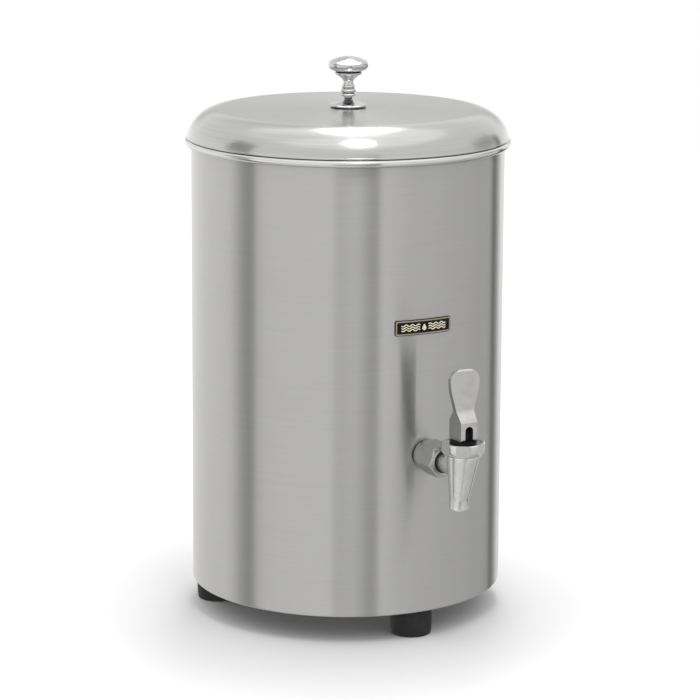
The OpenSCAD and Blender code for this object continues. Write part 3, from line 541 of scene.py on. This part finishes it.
finishes = {
    "brushedShell": makeBrushedShell({
        "along": 38.0, "across": 1900.0, "markScale": 14.0, "anisotropic": 1.0, "roughness": 0.31,
        "roughSpread": 0.02, "smear": 0.02, "depth": 0.0000015,
        "dark": greyLevel(0.482, 0.003), "light": greyLevel(0.528, 0.003)}),
    "lidSteel": makeSpunSteel("spun lid steel", {
        "rings": 1500.0, "markScale": 20.0, "anisotropic": 0.6, "roughness": 0.20, "roughSpread": 0.02,
        "smear": 0.02, "depth": 0.0000006, "dark": greyLevel(0.49), "light": greyLevel(0.54)}),
    "beadSteel": makeSpunSteel("polished bead steel", {
        "rings": 2600.0, "markScale": 24.0, "anisotropic": 0.2, "roughness": 0.13, "roughSpread": 0.02,
        "smear": 0.03, "depth": 0.0000004, "dark": greyLevel(0.60), "light": greyLevel(0.68)}),
    "tankSteel": makeSpunSteel("drawn tank steel", {
        "rings": 2600.0, "markScale": 24.0, "anisotropic": 0.2, "roughness": 0.13, "roughSpread": 0.02,
        "smear": 0.03, "depth": 0.0000004, "dark": greyLevel(0.60), "light": greyLevel(0.68),
        "satinWithin": 0.112, "satinFade": 0.0015, "satin": greyLevel(0.78), "satinRoughness": 0.45}),
    "plateSteel": makeSpunSteel("pressed plate steel", {
        "rings": 900.0, "markScale": 30.0, "anisotropic": 0.3, "roughness": 0.36, "roughSpread": 0.05,
        "smear": 0.06, "depth": 0.000002, "dark": greyLevel(0.42), "light": greyLevel(0.52)}),
    "knobChrome": makePolishedMetal("knob chrome", {
        "markScale": 90.0, "speckleScale": 1500.0, "roughness": 0.05, "roughSpread": 0.015, "smear": 0.05,
        "depth": 0.0000004, "light": greyLevel(0.58, -0.004), "dark": greyLevel(0.52),
        "reach": 0.003, "recess": greyLevel(0.05)}),
    "bonnetChrome": makePolishedMetal("bonnet chrome", {
        "markScale": 80.0, "speckleScale": 1400.0, "roughness": 0.15, "roughSpread": 0.03, "smear": 0.06,
        "depth": 0.0000015, "light": greyLevel(0.65), "dark": greyLevel(0.59),
        "reach": 0.002, "recess": greyLevel(0.15)}),
    "tapChrome": makePolishedMetal("tap chrome", {
        "markScale": 80.0, "speckleScale": 1400.0, "roughness": 0.25, "roughSpread": 0.03, "smear": 0.06,
        "depth": 0.0000015, "light": greyLevel(0.76), "dark": greyLevel(0.69),
        "reach": 0.003, "recess": greyLevel(0.12)}),
    "sleeveChrome": makePolishedMetal("sleeve chrome", {
        "markScale": 80.0, "speckleScale": 1400.0, "roughness": 0.20, "roughSpread": 0.04, "smear": 0.06,
        "depth": 0.0000015, "light": greyLevel(0.50), "dark": greyLevel(0.44),
        "reach": 0.004, "recess": greyLevel(0.10)}),
    "handleSteel": makePolishedMetal("tumbled handle steel", {
        "markScale": 70.0, "speckleScale": 2200.0, "roughness": 0.34, "roughSpread": 0.04, "smear": 0.05,
        "depth": 0.000006, "light": greyLevel(0.58, 0.003), "dark": greyLevel(0.51, 0.003),
        # the darker colour on faces turned away from the front and the top is a painted shade
        "sideShade": greyLevel(0.31, 0.003), "castRoughness": 0.08, "turnedAwayRange": (0.5, 0.2)}),
    "seamSteel": makePolishedMetal("dressed weld", {
        "markScale": 60.0, "speckleScale": 1200.0, "roughness": 0.30, "roughSpread": 0.05, "smear": 0.05,
        "depth": 0.000004, "light": greyLevel(0.50), "dark": greyLevel(0.40)}),
    "zincSteel": makePolishedMetal("bright zinc", {
        "markScale": 120.0, "speckleScale": 1800.0, "roughness": 0.26, "roughSpread": 0.05, "smear": 0.08,
        "depth": 0.000004, "light": greyLevel(0.60, -0.01), "dark": greyLevel(0.50)}),
    "springSteel": makePolishedMetal("drawn spring wire", {
        "markScale": 160.0, "speckleScale": 3000.0, "roughness": 0.30, "roughSpread": 0.05, "smear": 0.05,
        "depth": 0.000003, "light": greyLevel(0.52), "dark": greyLevel(0.44)}),
    "footRubber": makeMoulded("foot rubber", {
        "speckleScale": 1300.0, "markScale": 90.0, "roughness": 0.72, "roughSpread": 0.08, "specular": 0.35,
        "depth": 0.00002, "colour": greyLevel(0.016), "dust": greyLevel(0.028, 0.02)}),
    "sealRubber": makeMoulded("seal rubber", {
        "speckleScale": 2500.0, "markScale": 90.0, "roughness": 0.5, "roughSpread": 0.08, "specular": 0.4,
        "depth": 0.000006, "colour": greyLevel(0.012), "dust": greyLevel(0.018)}),
    "silicone": makeMoulded("white silicone", {
        "speckleScale": 1500.0, "markScale": 60.0, "roughness": 0.42, "roughSpread": 0.05, "specular": 0.4,
        "depth": 0.000004, "colour": greyLevel(0.72, 0.01), "dust": greyLevel(0.64, 0.02)}),
    "blackAcetal": makeMoulded("black acetal", {
        "speckleScale": 1800.0, "markScale": 90.0, "roughness": 0.40, "roughSpread": 0.06, "specular": 0.25,
        "depth": 0.000004, "colour": greyLevel(0.006), "dust": greyLevel(0.010)}),
    "nylon": makeMoulded("natural nylon", {
        "speckleScale": 900.0, "markScale": 60.0, "roughness": 0.5, "roughSpread": 0.05, "specular": 0.4,
        "depth": 0.000006, "colour": greyLevel(0.68, 0.02), "dust": greyLevel(0.62, 0.03)}),
    "foam": makeMoulded("rigid foam", {
        "speckleScale": 700.0, "markScale": 60.0, "roughness": 0.85, "roughSpread": 0.05, "specular": 0.2,
        "depth": 0.00025, "colour": (0.72, 0.56, 0.27, 1), "dust": (0.60, 0.44, 0.20, 1)}),
    "plaqueBlack": makeMoulded("plaque lacquer", {
        "speckleScale": 1500.0, "markScale": 120.0, "roughness": 0.34, "roughSpread": 0.05, "specular": 0.16,
        "depth": 0.000002, "colour": greyLevel(0.004), "dust": greyLevel(0.008)}),
    "plaqueCream": makeMoulded("plaque enamel", {
        "speckleScale": 1500.0, "markScale": 120.0, "roughness": 0.35, "roughSpread": 0.05, "specular": 0.4,
        "depth": 0.000002, "colour": (0.80, 0.74, 0.58, 1), "dust": (0.70, 0.63, 0.46, 1)}),
    "plaqueGold": makePolishedMetal("plaque gold", {
        "markScale": 120.0, "speckleScale": 2000.0, "roughness": 0.30, "roughSpread": 0.04, "smear": 0.05,
        "depth": 0.000002, "light": (0.42, 0.38, 0.29, 1), "dark": (0.34, 0.30, 0.22, 1)}),
}

finishOf = {
    "outer_shell": "brushedShell",
    "inner_tank": "tankSteel",
    "lid_dome": "lidSteel",
    "lid_ring": "beadSteel",
    "lid_knob": "knobChrome",
    "bonnet": "bonnetChrome",
    "tap_body": "tapChrome",
    "tap_shank": "sleeveChrome",
    "handle": "handleSteel",
    "handle_pin": "zincSteel",
    "foot_screws": "zincSteel",
    "foot_washers": "zincSteel",
    "foot_nuts": "zincSteel",
    "shank_washer": "zincSteel",
    "shank_nut": "zincSteel",
    "knob_washer": "zincSteel",
    "knob_screw": "zincSteel",
    "valve_spring": "springSteel",
    "base_plate": "plateSteel",
    "side_insulation": "foam",
    "base_insulation": "foam",
    "front_foot": "footRubber",
    "right_foot": "footRubber",
    "left_foot": "footRubber",
    "shank_o_ring": "sealRubber",
    "shell_gasket": "sealRubber",
    "tank_gasket": "sealRubber",
    "stem_o_ring": "sealRubber",
    "seat_cup": "silicone",
    "bonnet_seal": "silicone",
    "stem_guide": "blackAcetal",
    "valve_stem": "blackAcetal",
    "shank_spacer": "nylon",
    "label_plate": "plaqueBlack",
    "label_frame": "plaqueGold",
}


def dressNodes():
    for name, node in cadNodes.items():
        node.data.materials.clear()
        node.data.materials.append(finishes[finishOf[name]])


dressNodes()
print("urn: finishes applied")


# ---- edges of the tap's metal, bevelled as far as the narrow faces beside them allow

tapEdges = {
    "widths": {"handle": 0.00045, "tap_shank": 0.0003, "bonnet": 0.0002, "tap_body": 0.00025},
    "weldWithin": 0.000005,
    "segments": 2,
    "sharpFrom": math.radians(28),
}


def roundEdges(s):
    for name, width in s["widths"].items():
        node = cadNodes[name]
        weld = node.modifiers.new("weld", "WELD")
        weld.merge_threshold = s["weldWithin"]
        bevel = node.modifiers.new("rounded edges", "BEVEL")
        bevel.width = width
        bevel.segments = s["segments"]
        bevel.limit_method = "ANGLE"
        bevel.angle_limit = s["sharpFrom"]
        bevel.harden_normals = True


roundEdges(tapEdges)
print("urn: edges rounded")


# ---- small pieces that the scene adds: the plaque's motif, weld seams, the shank's thread, the valve's coil

def addPiece(name, tree, finish, body):
    mesh = bpy.data.meshes.new(name)
    bmesh.ops.recalc_face_normals(tree, faces=tree.faces)
    tree.to_mesh(mesh)
    tree.free()
    mesh.materials.append(finishes[finish])
    piece = bpy.data.objects.new(name, mesh)
    scene.collection.objects.link(piece)
    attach(piece, body)
    return piece


def addStrip(tree, rings):
    # joins rings of points, each the same number, into a tube with capped ends
    made = [[tree.verts.new(point) for point in ring] for ring in rings]
    for first, second in zip(made, made[1:]):
        for i in range(len(first)):
            j = (i + 1) % len(first)
            tree.faces.new((first[i], first[j], second[j], second[i]))
    tree.faces.new(made[0])
    tree.faces.new(made[-1])


motif = {
    "waveLength": 0.0052,
    "waveHeight": 0.00062,
    "waves": 3,
    "waveFrom": 0.0038,  # from the middle of the plate to where the waves start
    "waveRows": (0.0019, 0.0, -0.0019),
    "stroke": 0.00042,  # half a line's width
    "bevel": 0.00012,
    "rise": 0.00028,
    "sunk": 0.00006,
    "dropRadius": 0.00175,
    "dropTip": 0.0032,  # from the middle of the drop's round end to its tip
    "dropShift": -0.0009,
    "dropPoints": 48,
    "dropSharpness": 4,
    "dropPinch": 0.35,  # how much narrower the drop is towards its tip
    "dropTop": 0.92,  # the size of its face beside its foot
    "stepsPerWave": 14,
}


def plateMiddle(node):
    # the radius of a curved plate's face about the urn's axis, and its middle as an angle and a height
    spots = [v.co - urnAxis for v in cadNodes[node].data.vertices]
    radius = max(math.hypot(spot.x, spot.y) for spot in spots)
    angles = [math.atan2(spot.x, -spot.y) for spot in spots]
    low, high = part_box(node)
    return radius, (min(angles) + max(angles)) / 2, (low.z + high.z) / 2


def makeMotif(s):
    radius, middleAngle, middleHeight = plateMiddle("label_plate")

    def onPlate(along, up, out):
        angle = middleAngle + along / radius
        reach = radius + out
        return Vector((urnAxis.x + reach * math.sin(angle), urnAxis.y - reach * math.cos(angle),
                       middleHeight + up))

    def section(along, up, slope):
        length = math.hypot(1, slope)
        side = (-slope / length, 1 / length)
        edge, top = s["stroke"], s["stroke"] - s["bevel"]
        return [onPlate(along + side[0] * w, up + side[1] * w, out)
                for w, out in ((-edge, -s["sunk"]), (-edge, s["rise"] - s["bevel"]), (-top, s["rise"]),
                               (top, s["rise"]), (edge, s["rise"] - s["bevel"]), (edge, -s["sunk"]))]

    tree = bmesh.new()
    steps = s["waves"] * s["stepsPerWave"]
    for side in (-1, 1):
        for row in s["waveRows"]:
            rings = []
            for i in range(steps + 1):
                turn = math.tau * i / s["stepsPerWave"]
                along = side * (s["waveFrom"] + s["waveLength"] * i / s["stepsPerWave"])
                slope = side * s["waveHeight"] * math.cos(turn) * math.tau / s["waveLength"]
                rings.append(section(along, row + s["waveHeight"] * math.sin(turn), slope))
            addStrip(tree, rings)
    outline = []
    for i in range(s["dropPoints"]):
        turn = math.tau * i / s["dropPoints"]
        pull = max(0.0, math.sin(turn)) ** s["dropSharpness"]  # draws the upper end out to a tip
        x = s["dropRadius"] * math.cos(turn) * (1 - s["dropPinch"] * pull)
        y = s["dropShift"] + s["dropRadius"] * math.sin(turn) + (s["dropTip"] - s["dropRadius"]) * pull
        outline.append((x, y))
    layers = ((1.0, -s["sunk"]), (1.0, s["rise"] - s["bevel"]), (s["dropTop"], s["rise"]))
    addStrip(tree, [[onPlate(x * size, s["dropShift"] + (y - s["dropShift"]) * size, out) for x, y in outline]
                    for size, out in layers])
    addPiece("label_motif", tree, "plaqueCream", "root")


seams = {
    "outer_shell": {
        "name": "shell_seam", "finish": "seamSteel", "slot": "brushed_shell", "side": 1,
        "width": 0.0016, "rise": 0.00012, "sunk": 0.00002, "points": 7, "from": 0.004, "to": 0.006},
    "inner_tank": {
        "name": "tank_seam", "finish": "seamSteel", "slot": "tank_steel", "side": -1,
        "width": 0.0018, "rise": 0.00015, "sunk": 0.00002, "points": 7, "from": 0.016, "to": 0.020},
}


def makeSeam(node, s):
    # a low rounded weld along the back of a rolled sheet; side 1 is outside it, -1 inside
    low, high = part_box(node)
    behind = 2 * shellRadius if s["side"] > 0 else 0
    start = Vector((urnAxis.x, urnAxis.y + behind, (low.z + high.z) / 2))
    spot = cadNodes[node].ray_cast(start, Vector((0, -s["side"], 0)))[1]
    radius = spot.y - urnAxis.y
    tree = bmesh.new()
    rings = []
    for z in (low.z + s["from"], high.z - s["to"]):
        ring = []
        for i in range(s["points"]):
            share = i / (s["points"] - 1) - 0.5  # from one side of the weld to the other
            out = s["side"] * (s["rise"] * math.cos(math.pi * share) - s["sunk"])
            angle = s["width"] * share / radius
            ring.append(Vector((urnAxis.x + (radius + out) * math.sin(angle),
                                urnAxis.y + (radius + out) * math.cos(angle), z)))
        rings.append(ring)
    addStrip(tree, rings)
    addPiece(s["name"], tree, s["finish"], "root")


thread = {
    "pitch": 0.0015, "crest": 0.00045, "sunk": 0.0001, "stepsPerTurn": 40,
    "fromNut": 0.0003, "fromEnd": 0.0004,
    "leadIn": 0.25, "halfWidth": 0.4,  # in pitches
    "fade": 6,  # the crest is full after this part of a turn: one sixth
    "probeIn": 0.0005, "probeUp": 0.05,  # where the shank's radius is felt from
}


def makeShankThread(s):
    # what shows of the shank's thread inside the tank, past the nut
    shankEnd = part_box("tap_shank")[1].y
    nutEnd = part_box("shank_nut")[1].y
    washerLow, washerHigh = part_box("shank_washer")
    middle = (washerLow.z + washerHigh.z) / 2
    start = Vector((0, shankEnd - s["probeIn"], middle + s["probeUp"]))
    spot = cadNodes["tap_shank"].ray_cast(start, Vector((0, 0, -1)))[1]
    radius = spot.z - middle
    begins, ends = nutEnd + s["fromNut"], shankEnd - s["fromEnd"]
    turns = (ends - begins - s["pitch"] / 2) / s["pitch"]
    steps = int(turns * s["stepsPerTurn"])
    rings = []
    for i in range(steps + 1):
        angle = math.tau * i / s["stepsPerTurn"]
        y = begins + s["pitch"] * (s["leadIn"] + i / s["stepsPerTurn"])
        fade = min(1.0, s["fade"] * i / s["stepsPerTurn"], s["fade"] * (steps - i) / s["stepsPerTurn"])
        outward = Vector((math.sin(angle), 0, math.cos(angle)))
        axis = Vector((0, y, middle))
        halfWidth = Vector((0, s["pitch"] * s["halfWidth"], 0))
        foot = axis + outward * (radius - s["sunk"])
        rings.append([foot - halfWidth, axis + outward * (radius + s["crest"] * fade), foot + halfWidth])
    tree = bmesh.new()
    addStrip(tree, rings)
    addPiece("shank_thread", tree, "sleeveChrome", "root")


spring = {
    "wire": 0.00055,  # half its thickness; closedPitch and grind are in these
    "turns": 5, "closedTurns": 0.75, "closedPitch": 2.05, "grind": 0.4,
    "easing": 0.4,  # the part of a turn in which it opens
    "stepsPerTurn": 36, "sides": 12,
}


def makeValveSpring(s):
    # a coil with closed, ground ends, fixed to the stem's body
    low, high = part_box("valve_spring")
    centre = (low + high) / 2
    wire = s["wire"]
    reach = (high.x - low.x) / 2 - wire
    steps = int(s["turns"] * s["stepsPerTurn"])
    openness = [min(1, max(0, (turn - s["closedTurns"]) / s["easing"]))
                * min(1, max(0, (s["turns"] - s["closedTurns"] - turn) / s["easing"]))
                for turn in (i / s["stepsPerTurn"] for i in range(steps))]
    start, end = low.z + s["grind"] * wire, high.z - s["grind"] * wire
    closedRise = s["closedPitch"] * wire / s["stepsPerTurn"]
    openRise = (end - start - closedRise * steps) / sum(openness)
    rings, z = [], start
    for i in range(steps + 1):
        angle = math.tau * i / s["stepsPerTurn"]
        rise = closedRise + openRise * openness[min(i, steps - 1)]
        outward = Vector((math.cos(angle), math.sin(angle), 0))
        climb = rise * s["stepsPerTurn"] / (math.tau * reach)
        along = Vector((-math.sin(angle), math.cos(angle), climb)).normalized()
        across = along.cross(outward)
        ring = []
        for k in range(s["sides"]):
            turn = math.tau * k / s["sides"]
            spot = Vector((centre.x, centre.y, z)) + outward * (reach + wire * math.cos(turn))
            spot += across * wire * math.sin(turn)
            spot.z = min(high.z, max(low.z, spot.z))
            ring.append(spot)
        rings.append(ring)
        z += rise
    tree = bmesh.new()
    addStrip(tree, rings)
    for face in tree.faces:
        face.smooth = True
    coil = addPiece("valve_coil", tree, "springSteel", "stem")
    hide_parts("valve_spring")
    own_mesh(coil)


makeMotif(motif)
for nodeName, seam in seams.items():
    makeSeam(nodeName, seam)
makeShankThread(thread)
makeValveSpring(spring)
print("urn: small pieces added")
